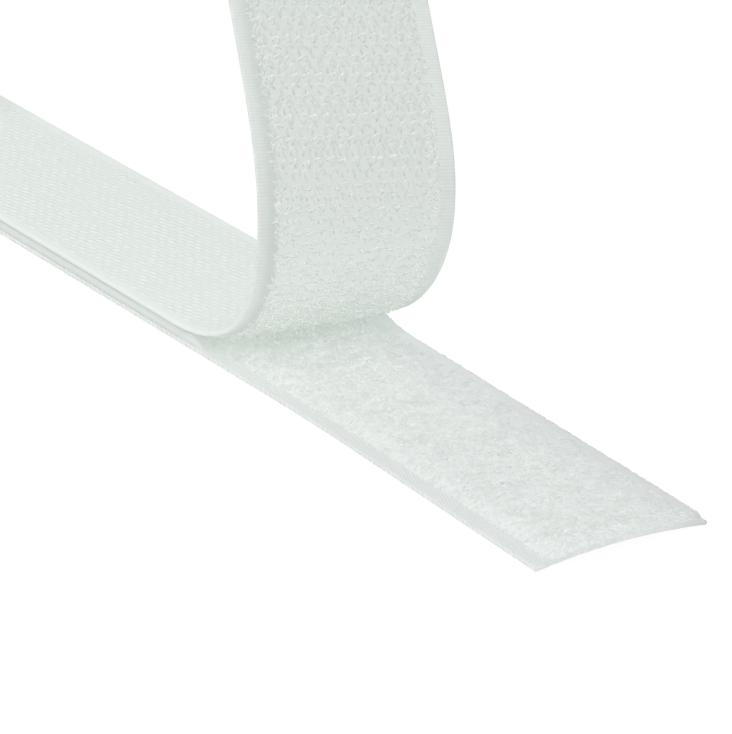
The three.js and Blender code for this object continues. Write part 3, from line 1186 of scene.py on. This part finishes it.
@dataclass
class LoopTape:
    """The loop tape, from its inner end in the roll to its slanted cut, with the nap on its free end."""

    winding: Winding
    path: LoopPath
    finishes: Finishes
    step: float = 1.5
    free_step: float = 0.8
    columns: int = 14
    edge: float = 0.2
    bed_top: float = 1.15
    sunk: float = 0.25
    bed_columns: int = 44
    bed_steps: int = 200
    loops_per_mm2: float = 7.0
    thin_edge: float = 1.6
    edge_fall: float = 4.5
    far_fall: float = 0.7
    far_reach: float = 1.037
    far_extra: float = 1.5
    far_crease: float = 8.0
    far_inset: float = 0.95
    far_low: float = 0.2
    far_band: float = 0.5
    near_inset: float = 0.5
    rim_in: float = 1.3
    rim_wide: float = 2.5
    rim_rise: float = 0.28
    rim_pulled: float = 0.7
    rim_over: float = 45.0
    end_fall: float = 1.2
    end_share: float = 0.6
    end_low: float = 0.05
    overhang: float = 0.06
    stray: float = 0.45
    fibre: float = 0.045
    fibre_sizes: Span = (0.8, 1.3)
    loop_span: Span = (0.5, 1.5)
    loop_rise: Span = (0.1, 0.42)
    loop_sway: float = 0.25
    loop_root: float = 0.14
    loop_points: int = 6
    clump: float = 1.3
    clump_height: float = 0.25
    caught: float = 2.5
    crease: float = 8.0
    crease_side: float = 2.0
    crease_wide: float = 9.0
    spread: float = 0.034
    opening: float = 0.008
    pull: float = 2.0
    pull_at: float = 6.0
    pull_over: float = 6.0
    parts: int = 4
    seed: int = 7

    def web_place(self, length: np.ndarray, side: np.ndarray, height: Any) -> Points:
        """Places of the web, in the roll or on the floor.

        Args:
            length: distances from the peel line.
            side: places across the tape.
            height: heights above its back.

        Returns:
            The points.
        """
        tape = self.winding.tape
        wound = self.winding.place(length + tape.mated, side, height)
        free = self.path.place(length, side, height)
        return np.where((length > -tape.mated)[..., None], free, wound)

    def slant(self, length: np.ndarray, side: np.ndarray) -> np.ndarray:
        """The share of the cut's slant that each station has."""
        tape = self.winding.tape
        return np.maximum(0, length / tape.free) * tape.cut(side)

    def build(self) -> None:
        """Makes the web, the bed of the nap and its loops."""
        tape = self.winding.tape
        wound = np.arange(-self.winding.wound - tape.mated, -tape.mated, self.step)
        run = np.linspace(-tape.mated, 0, 40)[:-1]
        free = np.linspace(0, tape.free, int(tape.free / self.free_step) + 1)
        section = Section(tape.half, 0.0, tape.loop_web, self.edge, self.columns)
        lengths = np.concatenate([wound, run, free])
        web = Bench.sweep("loop_web", self.web_place, lengths, section, self.slant)
        plain = self.finishes.plain
        Bench.dress(web, plain, plain, plain, self.finishes.bed)
        settle(web, Body.ROLL, Slot.WOVEN, "loop_web_wound", "loop_web_run")
        self.bed()
        self.nap()

    def share(self, length: np.ndarray, side: np.ndarray) -> np.ndarray:
        """How high the nap is, which falls slowly to the near edge and steeply to the far one.

        Args:
            length: distances from the peel line.
            side: places across the tape.

        Returns:
            The share of its full height.
        """
        tape = self.winding.tape
        room = tape.pile_half + self.thin_edge - np.abs(side)
        inward = np.where(side > 0, smooth(room, 0.0, self.far_fall), smooth(room, 0.0, self.edge_fall))
        back = smooth(tape.free + tape.cut(side) - length, 0.0, self.end_fall)
        return inward * (self.end_share + (1 - self.end_share) * back)

    def nap_place(self, length: np.ndarray, side: np.ndarray, height: Any) -> Points:
        """Places in the nap, which stands up in the crease and at the far rim and hangs over the cut.

        Args:
            length: distances from the peel line.
            side: places across the tape.
            height: heights in a level nap, above the back of the tape.

        Returns:
            The points.
        """
        tape = self.winding.tape
        past = smooth(length - tape.free - tape.cut(side), -self.end_fall, self.end_fall)
        base = (tape.loop_web - self.sunk) * (1 - past) + self.end_low * past
        over = (height - tape.loop_web + self.sunk) / (self.bed_top - tape.loop_web + self.sunk)
        far = self.far_crease * smooth(side, self.crease_side, self.crease_wide)
        lift = 1 - smooth(length, self.caught, self.crease + far)
        full = (tape.pile_top + self.sunk / 2 - base) / (self.bed_top - base)
        share = self.share(length, side) * (1 - lift) + full * lift
        wider = np.maximum(1 + lift * self.spread, np.where(side > 0, self.far_reach, 1.0))
        room = tape.pile_top + self.sunk / 2 + self.opening * np.maximum(length, 0) ** 2
        pulled = self.rim_rise + self.rim_pulled * (1 - smooth(length, self.caught, self.rim_over))
        rim = pulled * smooth(side * wider, tape.pile_half - self.rim_in, self.rim_wide)
        risen = np.minimum(base + (self.bed_top - base + rim) * over * share, room)
        return self.path.place(length, side * wider, risen)

    def bed(self) -> None:
        """Makes the dense root of the nap, with an uneven top."""
        tape = self.winding.tape
        wide = tape.pile_half + self.thin_edge
        section = Section(wide, tape.loop_web - self.sunk, self.bed_top, self.edge, self.bed_columns)
        lengths = np.linspace(-0.5, tape.free + self.overhang, self.bed_steps)
        bed = Bench.sweep("nap_bed", self.nap_place, lengths, section, self.slant)
        Bench.dress(bed, self.finishes.bed)
        texture = bpy.data.textures.new("nap_clumps", "CLOUDS")
        texture.noise_scale = self.clump * MM
        texture.noise_depth = 2
        Bench.modify(
            bed,
            "DISPLACE",
            texture=texture,
            strength=self.clump_height * MM,
            mid_level=0.6,
            texture_coords="LOCAL",
        )
        settle(bed, Body.ROLL, Slot.PILE, "loop_nap")

    def nap(self) -> None:
        """Makes the loose loops of the nap, in a few pieces along the tape."""
        tape = self.winding.tape
        draw = np.random.default_rng(self.seed)
        bounds = np.linspace(0.2, tape.free, self.parts + 1)
        for part, (start, end) in enumerate(zip(bounds[:-1], bounds[1:]), 1):
            count = int((end - start) * 2 * tape.pile_half * self.loops_per_mm2)
            length = draw.uniform(start, end, count)
            side = draw.uniform(-tape.pile_half, tape.pile_half + self.far_extra, count)
            side = side + draw.normal(0, self.stray, count)
            lines, normal = self.loops(draw, length, side)
            radius = np.full(lines.shape[:2], self.fibre) * draw.uniform(*self.fibre_sizes, (count, 1))
            piece = Strands.piece(f"nap_loops_{part}", lines, radius, normal, draw.uniform(0, 1, count))
            Bench.dress(piece, self.finishes.fibre)
            settle(piece, Body.ROLL, Slot.PILE, "loop_nap")

    def loops(
        self,
        draw: np.random.Generator,
        length: np.ndarray,
        side: np.ndarray,
    ) -> tuple[Points, Points]:
        """Centre lines of loops that rise from the bed, lean over and go back in.

        Args:
            draw: where chance comes from.
            length: the place of each loop's root along the tape.
            side: its place across the tape.

        Returns:
            The lines, and for each a direction square to its plane.
        """
        tape = self.winding.tape
        count = len(length)
        share = np.linspace(0, 1, self.loop_points)
        heading = draw.uniform(0, 2 * math.pi, count)
        span = draw.uniform(*self.loop_span, count)
        rise = draw.uniform(*self.loop_rise, count)
        rise = rise * np.where(side > tape.pile_half - self.far_band, self.far_low, 1.0)
        sway = draw.uniform(-self.loop_sway, self.loop_sway, count)
        arch = np.sin(share * math.pi)
        run = (share - 0.5)[None, :] * span[:, None]
        bow = arch[None, :] * sway[:, None]
        along = np.cos(heading)[:, None] * run - np.sin(heading)[:, None] * bow
        across = np.sin(heading)[:, None] * run + np.cos(heading)[:, None] * bow
        spot = side[:, None] + across
        spot = np.clip(spot, self.near_inset - tape.half, tape.half - self.far_inset)
        stretch = length[:, None] + along
        stretch = np.minimum(stretch, tape.free)
        place = stretch + self.slant(stretch, spot)
        pulled = 1 + self.pull * bell(length, self.pull_at, self.pull_over) * draw.uniform(0, 1, count)
        height = self.bed_top - self.loop_root + (rise * pulled)[:, None] * arch[None, :]
        lines = self.nap_place(place.ravel(), spot.ravel(), height.ravel())
        normal = np.stack([-np.sin(heading), np.cos(heading), np.zeros(count)], axis=-1)
        return lines.reshape(count, self.loop_points, 3), normal


@dataclass
class PeeledHookTape:
    """The peeled stretch of the hook tape, in pieces along it from the roll to the last peel body."""

    path: HookPath
    finishes: Finishes
    joins: tuple[float, ...] = (0.0, 4.0, 14.125, 24.375, 32.25, 41.125, 51.4)
    step: float = 0.5
    columns: int = 20
    edge: float = 0.2
    row_pitch: float = 1.33
    hook_pitch: float = 1.55
    hooks_per_row: int = 13
    first_row: float = 2.0
    wire: float = 0.165
    leg: float = 0.82
    arch: float = 0.44
    arch_turn: float = 190.0
    skew: float = 0.22
    root: float = 0.05
    jitter: float = 0.09
    turned: float = 9.0
    sizes: Span = (0.9, 1.06)
    tone: float = 0.8
    end_clear: float = 0.3
    spread: float = 7.0
    loose_until: float = 38.0
    loose_spread: float = 16.0
    low_size: float = 0.74
    tilts: tuple[float, ...] = (52.0, 43.0, 48.0, 39.0)
    # hooks in every fourth row that carry a painted glint on their crowns
    bright_until: float = 5.0
    bright_from: float = 30.0
    bright_share: float = 0.75
    bright_rows: int = 4
    crown_at: float = 95.0
    crown_over: float = 10.0
    crown_rest: float = 0.4
    short_jitter: float = 0.2
    short_tilt: Span = (25.0, 18.0)
    short_turned: float = 30.0
    short_sizes: Span = (0.42, 0.6)
    short_tone: float = 0.5
    dark_until: float = 2.0
    curls_per_mm: float = 3.2
    curl_wire: float = 0.1
    curl_inset: float = 0.25
    curl_stray: float = 0.22
    curl_spans: Span = (0.5, 1.1)
    curl_rises: Span = (0.25, 0.75)
    curl_tones: Span = (0.2, 0.86)
    curl_root: float = 0.08
    curl_points: int = 7
    curl_clear: float = 0.6
    frayed_until: float = 26.0
    frayed_over: float = 0.7
    trim: float = 0.5
    trim_from: float = 5.5
    trim_until: float = 12.0
    seed: int = 19

    BODIES = (Body.ROLL, Body.PEEL_1, Body.PEEL_2, Body.PEEL_3, Body.PEEL_4, Body.PEEL_5)

    def stretches(self) -> list[tuple[str, float, float]]:
        """Lists the pieces of the peel.

        Returns:
            Their names, starts and ends along the tape.
        """
        ends = [*self.joins[1:], self.path.tape.free]
        names = ["start", *[f"bend_{k}" for k in range(1, 6)], "end"]
        return list(zip(names, self.joins, ends))

    def attach(self, piece: bpy.types.Object, index: int, kind: str) -> None:
        """Makes the first piece ride on the roll and the last on the fifth peel body, and bakes a piece
        between them in place, riding on no body.

        Args:
            piece: the finished piece.
            index: its place in the list of stretches.
            kind: which CAD nodes it stands for, web or hooks.
        """
        _, start, end = self.stretches()[index]
        if index == 0:
            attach(piece, Body.ROLL.value)
            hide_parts("hook_web_run")
        elif index == len(self.joins) - 1:
            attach(piece, Body.PEEL_5.value)
            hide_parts(f"peel_{kind}_5")
        else:
            corners = self.path.place(np.array([start, end]), np.zeros(2), np.zeros(2)) * MM
            first, second = self.BODIES[index - 1], self.BODIES[index]
            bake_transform(piece)
            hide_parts(f"peel_{kind}_{index}")
        LOG.info("%s: %d faces", piece.name, len(piece.data.polygons))

    def build(self) -> None:
        """Makes the web, the hooks and the stray curls of each stretch."""
        pattern = self.hook()
        draw = np.random.default_rng(self.seed)
        rows = self.rows(draw)
        curls = self.curls(draw)
        for index, (name, start, end) in enumerate(self.stretches()):
            self.web(index, name, start, end)
            reach = math.inf if index == len(self.joins) - 1 else end
            hooks = self.hooks(name, rows[(rows[:, 0] >= start) & (rows[:, 0] < reach)], pattern)
            fringe = self.fringe(name, curls[(curls[:, 0] >= start) & (curls[:, 0] < reach)])
            for piece in (hooks, fringe):
                Bench.dress(piece, self.finishes.hooks)
                self.attach(piece, index, "hooks")
        bpy.data.objects.remove(pattern)

    def web(self, index: int, name: str, start: float, end: float) -> None:
        """Makes the web of one stretch, which past the depth of the crease lets lamplight through.

        Args:
            index: its place in the list of stretches.
            name: what it is called.
            start: where it starts along the tape.
            end: where it ends.
        """
        tape = self.path.tape
        low = -tape.hook_web / 2 - tape.layer_gap - tape.backing
        section = Section(tape.half, low, tape.hook_web / 2, self.edge, self.columns)
        last = index == len(self.joins) - 1
        lengths = np.linspace(start, end, max(3, int((end - start) / self.step) + 1))

        def slant(length: np.ndarray, side: np.ndarray) -> np.ndarray:
            """The slant of the cut, which grows from the start of the last stretch."""
            return (length - start) / (end - start) * tape.cut(side) * last

        strip = Bench.sweep(f"hook_web_{name}", self.path.place, lengths, section, slant)
        strip.visible_shadow = start < self.dark_until
        Bench.dress(strip, self.finishes.back, self.finishes.ground, self.finishes.ground)
        self.attach(strip, index, "web")

    def hook(self) -> bpy.types.Object:
        """Models one hook: a leg, an arch that turns over and a cut tip, with its root at the origin.

        Returns:
            The hook, in millimetres, which leans to +X and stands up along +Z.
        """
        Bench.clear()
        bpy.ops.mesh.primitive_circle_add(vertices=5, radius=self.wire, fill_type="NGON")
        hook = Bench.take("hook_pattern")
        bpy.ops.object.mode_set(mode="EDIT")
        bpy.ops.mesh.select_all(action="SELECT")
        bpy.ops.mesh.extrude_region_move(TRANSFORM_OT_translate={"value": (0, 0, self.leg)})
        bpy.ops.mesh.spin(
            steps=6,
            angle=math.radians(-self.arch_turn),
            center=(self.arch, 0, self.leg),
            axis=(0, 1, 0),
        )
        bpy.ops.mesh.select_all(action="SELECT")
        bpy.ops.mesh.normals_make_consistent(inside=False)
        bpy.ops.object.mode_set(mode="OBJECT")
        return hook

    def rows(self, draw: np.random.Generator) -> np.ndarray:
        """Places the hooks in their rows.

        Args:
            draw: where chance comes from.

        Returns:
            For each hook its length along the tape, its place across, the way that its arch turns, how far
            it tilts along the tape and turns about its root, its size and its tone.
        """
        tape = self.path.tape
        starts = np.arange(self.first_row, tape.free + tape.cut_slant, self.row_pitch)
        columns = (np.arange(self.hooks_per_row) - (self.hooks_per_row - 1) / 2) * self.hook_pitch
        row, column = np.meshgrid(np.arange(len(starts)), columns, indexing="ij")
        row, column = row.ravel(), column.ravel()
        count = len(row)
        low = starts[row] < self.loose_until
        lean = np.where(row % 2 == 0, 1.0, -1.0)
        side = column - lean * (self.arch - self.skew) + draw.uniform(-self.jitter, self.jitter, count)
        length = starts[row] + draw.uniform(-self.jitter, self.jitter, count)
        loose = draw.normal(0, 1, count) * np.where(low, self.loose_spread, self.spread)
        tilt = np.radians(np.array(self.tilts)[row % len(self.tilts)] + loose)
        yaw = np.radians(draw.normal(0, self.turned, count))
        size = draw.uniform(*self.sizes, count) * np.where(low, self.low_size, 1.0)
        size = size * self.trimmed(length, side)
        # hooks that get a painted glint on their crowns
        bright = (row % self.bright_rows == 1) & (side < self.bright_until)
        bright = bright & (starts[row] > self.bright_from)
        bright = bright & (draw.uniform(0, 1, count) < self.bright_share)
        tone = np.where(bright, 1.0, draw.uniform(0, self.tone, count))
        table = np.stack([length, side, lean, tilt, yaw, size, tone], 1)
        short = [self.short_hooks(draw, table, way) for way in (-1.0, 0.0, 1.0)]
        table = np.concatenate([table, *short])
        return table[table[:, 0] < tape.free + tape.cut(table[:, 1]) - self.end_clear]

    def short_hooks(self, draw: np.random.Generator, table: np.ndarray, way: float) -> np.ndarray:
        """Places short hooks that stand loosely between the long ones of the lower bend.

        Args:
            draw: where chance comes from.
            table: the long hooks.
            way: how many half pitches across they stand from the long hooks.

        Returns:
            The short hooks, with the same columns.
        """
        count = len(table)
        short = table.copy()
        ahead = self.row_pitch / 2 * (1 - 0.5 * abs(way))
        short[:, 0] += ahead + draw.normal(0, self.short_jitter, count)
        short[:, 1] += self.hook_pitch / 2 * way + draw.normal(0, self.short_jitter, count)
        short[:, 2] = draw.choice([-1.0, 1.0], count)
        short[:, 3] = np.radians(draw.normal(*self.short_tilt, count))
        short[:, 4] = np.radians(draw.normal(0, self.short_turned, count))
        short[:, 5] = draw.uniform(*self.short_sizes, count) * self.trimmed(short[:, 0], short[:, 1])
        short[:, 6] = draw.uniform(0, self.short_tone, count)
        kept = (np.abs(short[:, 1]) < self.path.tape.pile_half) & (short[:, 0] < self.loose_until)
        return short[kept]

    def trimmed(self, length: np.ndarray, side: np.ndarray) -> np.ndarray:
        """Makes hooks smaller towards the far edge of the lower bend.

        Args:
            length: distances from the peel line.
            side: places across the tape.

        Returns:
            The share of its size that a hook keeps at each place.
        """
        low = 1 - smooth(length, self.trim_until, self.trim_until)
        far = smooth(side, self.trim_from, self.path.tape.pile_half - self.trim_from)
        return 1 - self.trim * low * far

    def curls(self, draw: np.random.Generator) -> np.ndarray:
        """Places the stray curls of wire along both edges of the field.

        Args:
            draw: where chance comes from.

        Returns:
            For each curl its length along the tape, its place across, its heading, span, rise and tone.
        """
        tape = self.path.tape
        count = int(2 * tape.free * self.curls_per_mm)
        length = draw.uniform(self.first_row, tape.free + tape.cut_slant, count)
        edge = draw.choice([-1.0, 1.0], count)
        side = edge * (tape.pile_half - self.curl_inset + draw.normal(0, self.curl_stray, count))
        frayed = (side > 0) * (length < self.frayed_until)
        side = side + frayed * draw.uniform(0, self.frayed_over, count)
        heading = draw.uniform(0, 2 * math.pi, count)
        span = draw.uniform(*self.curl_spans, count)
        rise = draw.uniform(*self.curl_rises, count) * self.trimmed(length, side)
        tone = draw.uniform(*self.curl_tones, count)
        table = np.stack([length, side, heading, span, rise, tone], 1)
        return table[length < tape.free + tape.cut(side) - self.curl_clear]

    @property
    def ground(self) -> float:
        """The height of the face that the hooks stand on, from the middle of the web."""
        tape = self.path.tape
        return -(tape.hook_web / 2 + tape.layer_gap + tape.backing)

    def hooks(self, name: str, rows: np.ndarray, pattern: bpy.types.Object) -> bpy.types.Object:
        """Copies the hook to its rows on one stretch.

        Args:
            name: what the stretch is called.
            rows: the hooks of the stretch, as rows gives them.
            pattern: the hook that is copied.

        Returns:
            The piece.
        """
        length, side, lean, tilt, yaw, size, tone = rows.T
        point, across, up = self.path.axes(length)
        root = point + across * side[:, None] + up * (self.ground + self.root)
        straight = np.cross(across, up)
        along = straight * np.cos(yaw)[:, None] - across * np.sin(yaw)[:, None]
        across = across * np.cos(yaw)[:, None] + straight * np.sin(yaw)[:, None]
        corners = np.array([vertex.co for vertex in pattern.data.vertices])
        x, y, z = (corners[:, i][None, :, None] for i in range(3))
        scale = size[:, None, None]
        turn, fall = np.sin(tilt)[:, None, None], np.cos(tilt)[:, None, None]
        points = (
            root[:, None, :]
            + across[:, None, :] * ((x - z * self.skew) * lean[:, None, None] * scale)
            + along[:, None, :] * (y * fall + z * turn) * scale
            - up[:, None, :] * (z * fall - y * turn) * scale
        )
        count = len(corners)
        # only the crown of a glinting hook keeps the tone that paints the glint
        bent = np.arctan2(corners[:, 2] - self.leg, self.arch - corners[:, 0])
        crown = np.abs(bent - math.radians(self.crown_at)) < math.radians(self.crown_over)
        tones = np.where(crown[None, :] | (tone < 1)[:, None], tone[:, None], self.crown_rest)
        shapes = sorted(from_lowest(list(polygon.vertices)) for polygon in pattern.data.polygons)
        faces = []
        for number, way in enumerate(lean):
            for shape in shapes:
                ordered = shape if way > 0 else shape[::-1]
                faces.append([number * count + corner for corner in ordered])
        return Strands.mesh(f"hooks_{name}", points.reshape(-1, 3), faces, tones.ravel())

    def fringe(self, name: str, curls: np.ndarray) -> bpy.types.Object:
        """Makes the stray curls of one stretch.

        Args:
            name: what the stretch is called.
            curls: the curls of the stretch, as curls gives them.

        Returns:
            The piece.
        """
        length, side, heading, span, rise, tone = curls.T
        share = np.linspace(0, 1, self.curl_points)
        run = (share - 0.5)[None, :] * span[:, None]
        height = self.ground + self.curl_root - rise[:, None] * np.sin(share * math.pi)[None, :]
        along = length[:, None] + np.cos(heading)[:, None] * run
        across = side[:, None] + np.sin(heading)[:, None] * run
        lines = self.path.place(along.ravel(), across.ravel(), height.ravel())
        lines = lines.reshape(len(curls), self.curl_points, 3)
        radius = np.full(lines.shape[:2], self.curl_wire)
        planes = Strands.planes(lines, 3)
        return Strands.piece(f"hook_fringe_{name}", lines, radius, planes, tone, sides=5)


def aimed(eye: Spot, target: Spot) -> Euler:
    """The turn that makes a lamp or a camera at one place face another."""
    return (Vector(target) - Vector(eye)).to_track_quat("-Z", "Y").to_euler()


@dataclass(frozen=True)
class Lamp:
    """A square soft lamp that faces the peel, with its side and places in metres and its power in watts."""

    name: str
    place: Spot
    size: float
    power: float
    gloss_only: bool = False
    target: Spot = (0.03, 0.0, 0.02)

    def hang(self) -> None:
        """Makes the lamp."""
        Bench.clear()
        bpy.ops.object.light_add(type="AREA", location=self.place)
        lamp = bpy.context.object
        lamp.name = self.name
        lamp.data.size = self.size
        lamp.data.energy = self.power
        lamp.visible_diffuse = not self.gloss_only
        lamp.rotation_euler = aimed(self.place, self.target)


@dataclass
class Studio:
    """The floor, the lamps and the camera."""

    eye: Spot = (0.7091, -0.3506, 0.2423)
    aim: Spot = (0.03469, -0.00342, 0.00467)
    lens: float = 327.5
    sensor: float = 36.0
    floor_size: float = 6.0
    floor_drop: float = 0.0001
    shadow_share: float = 0.06
    world_light: float = 0.5
    lamps: tuple[Lamp, ...] = (
        Lamp("key", (-0.15, -0.35, 0.8), 0.6, 3.9),
        Lamp("fill", (0.8, -0.25, 0.2), 0.25, 1.5),
        Lamp("glint", (0.5, -0.5, 0.5), 0.2, 18.0, gloss_only=True),
    )

    def build(self) -> None:
        """Makes the stage."""
        self.floor()
        self.world()
        for lamp in self.lamps:
            lamp.hang()
        self.camera()

    def floor(self) -> None:
        """Lays a pale floor that is white to the camera apart from a share of the object's shadow."""
        Bench.clear()
        bpy.ops.mesh.primitive_plane_add(size=self.floor_size, location=(0, 0, -self.floor_drop))
        floor = Bench.take("floor")
        graph = Paint("pale_floor")
        graph.shader.inputs["Base Color"].default_value = (0.95, 0.95, 0.95, 1)
        graph.fix({"Roughness": 0.9})
        glow = graph.node("ShaderNodeEmission", {}, {"Color": (1, 1, 1, 1), "Strength": 1.03})
        white = graph.seen() * (1 - self.shadow_share)
        shaders = {0: white, 1: graph.shader.outputs[0], 2: glow.outputs[0]}
        mixed = graph.node("ShaderNodeMixShader", {}, shaders)
        graph.plug(mixed.outputs[0], graph.tree.nodes["Material Output"].inputs["Surface"])
        Bench.dress(floor, graph.material)

    def world(self) -> None:
        """Lights the scene evenly, and shows white behind it."""
        world = bpy.data.worlds.new("studio")
        bpy.context.scene.world = world
        world.use_nodes = True
        graph = Graph(world.node_tree)
        background = graph.tree.nodes["Background"]
        strength = graph.seen() * (1 - self.world_light) + self.world_light
        graph.plug((1, 1, 1, 1), background.inputs["Color"])
        graph.plug(strength, background.inputs["Strength"])

    def camera(self) -> None:
        """Places the camera at the photograph's viewing angle."""
        Bench.clear()
        bpy.ops.object.camera_add(location=self.eye)
        camera = bpy.context.object
        camera.name = "camera"
        camera.rotation_euler = aimed(self.eye, self.aim)
        camera.data.sensor_width = self.sensor
        camera.data.lens = self.lens
        camera.data.clip_start = 0.05
        camera.data.clip_end = 20.0
        bpy.context.scene.camera = camera


def main() -> None:
    """Builds the pieces in order and reports each one."""
    logging.basicConfig(level=logging.INFO, format="%(name)s %(message)s")
    bpy.context.scene.view_settings.view_transform = "Standard"
    tape = Tape()
    winding = Winding(tape)
    finishes = Finishes()
    Core(winding, finishes).build()
    WoundPair(winding, finishes).build()
    LoopTape(winding, LoopPath(tape), finishes).build()
    PeeledHookTape(HookPath(tape), finishes).build()
    Studio().build()


if __name__ == "__main__":
    main()
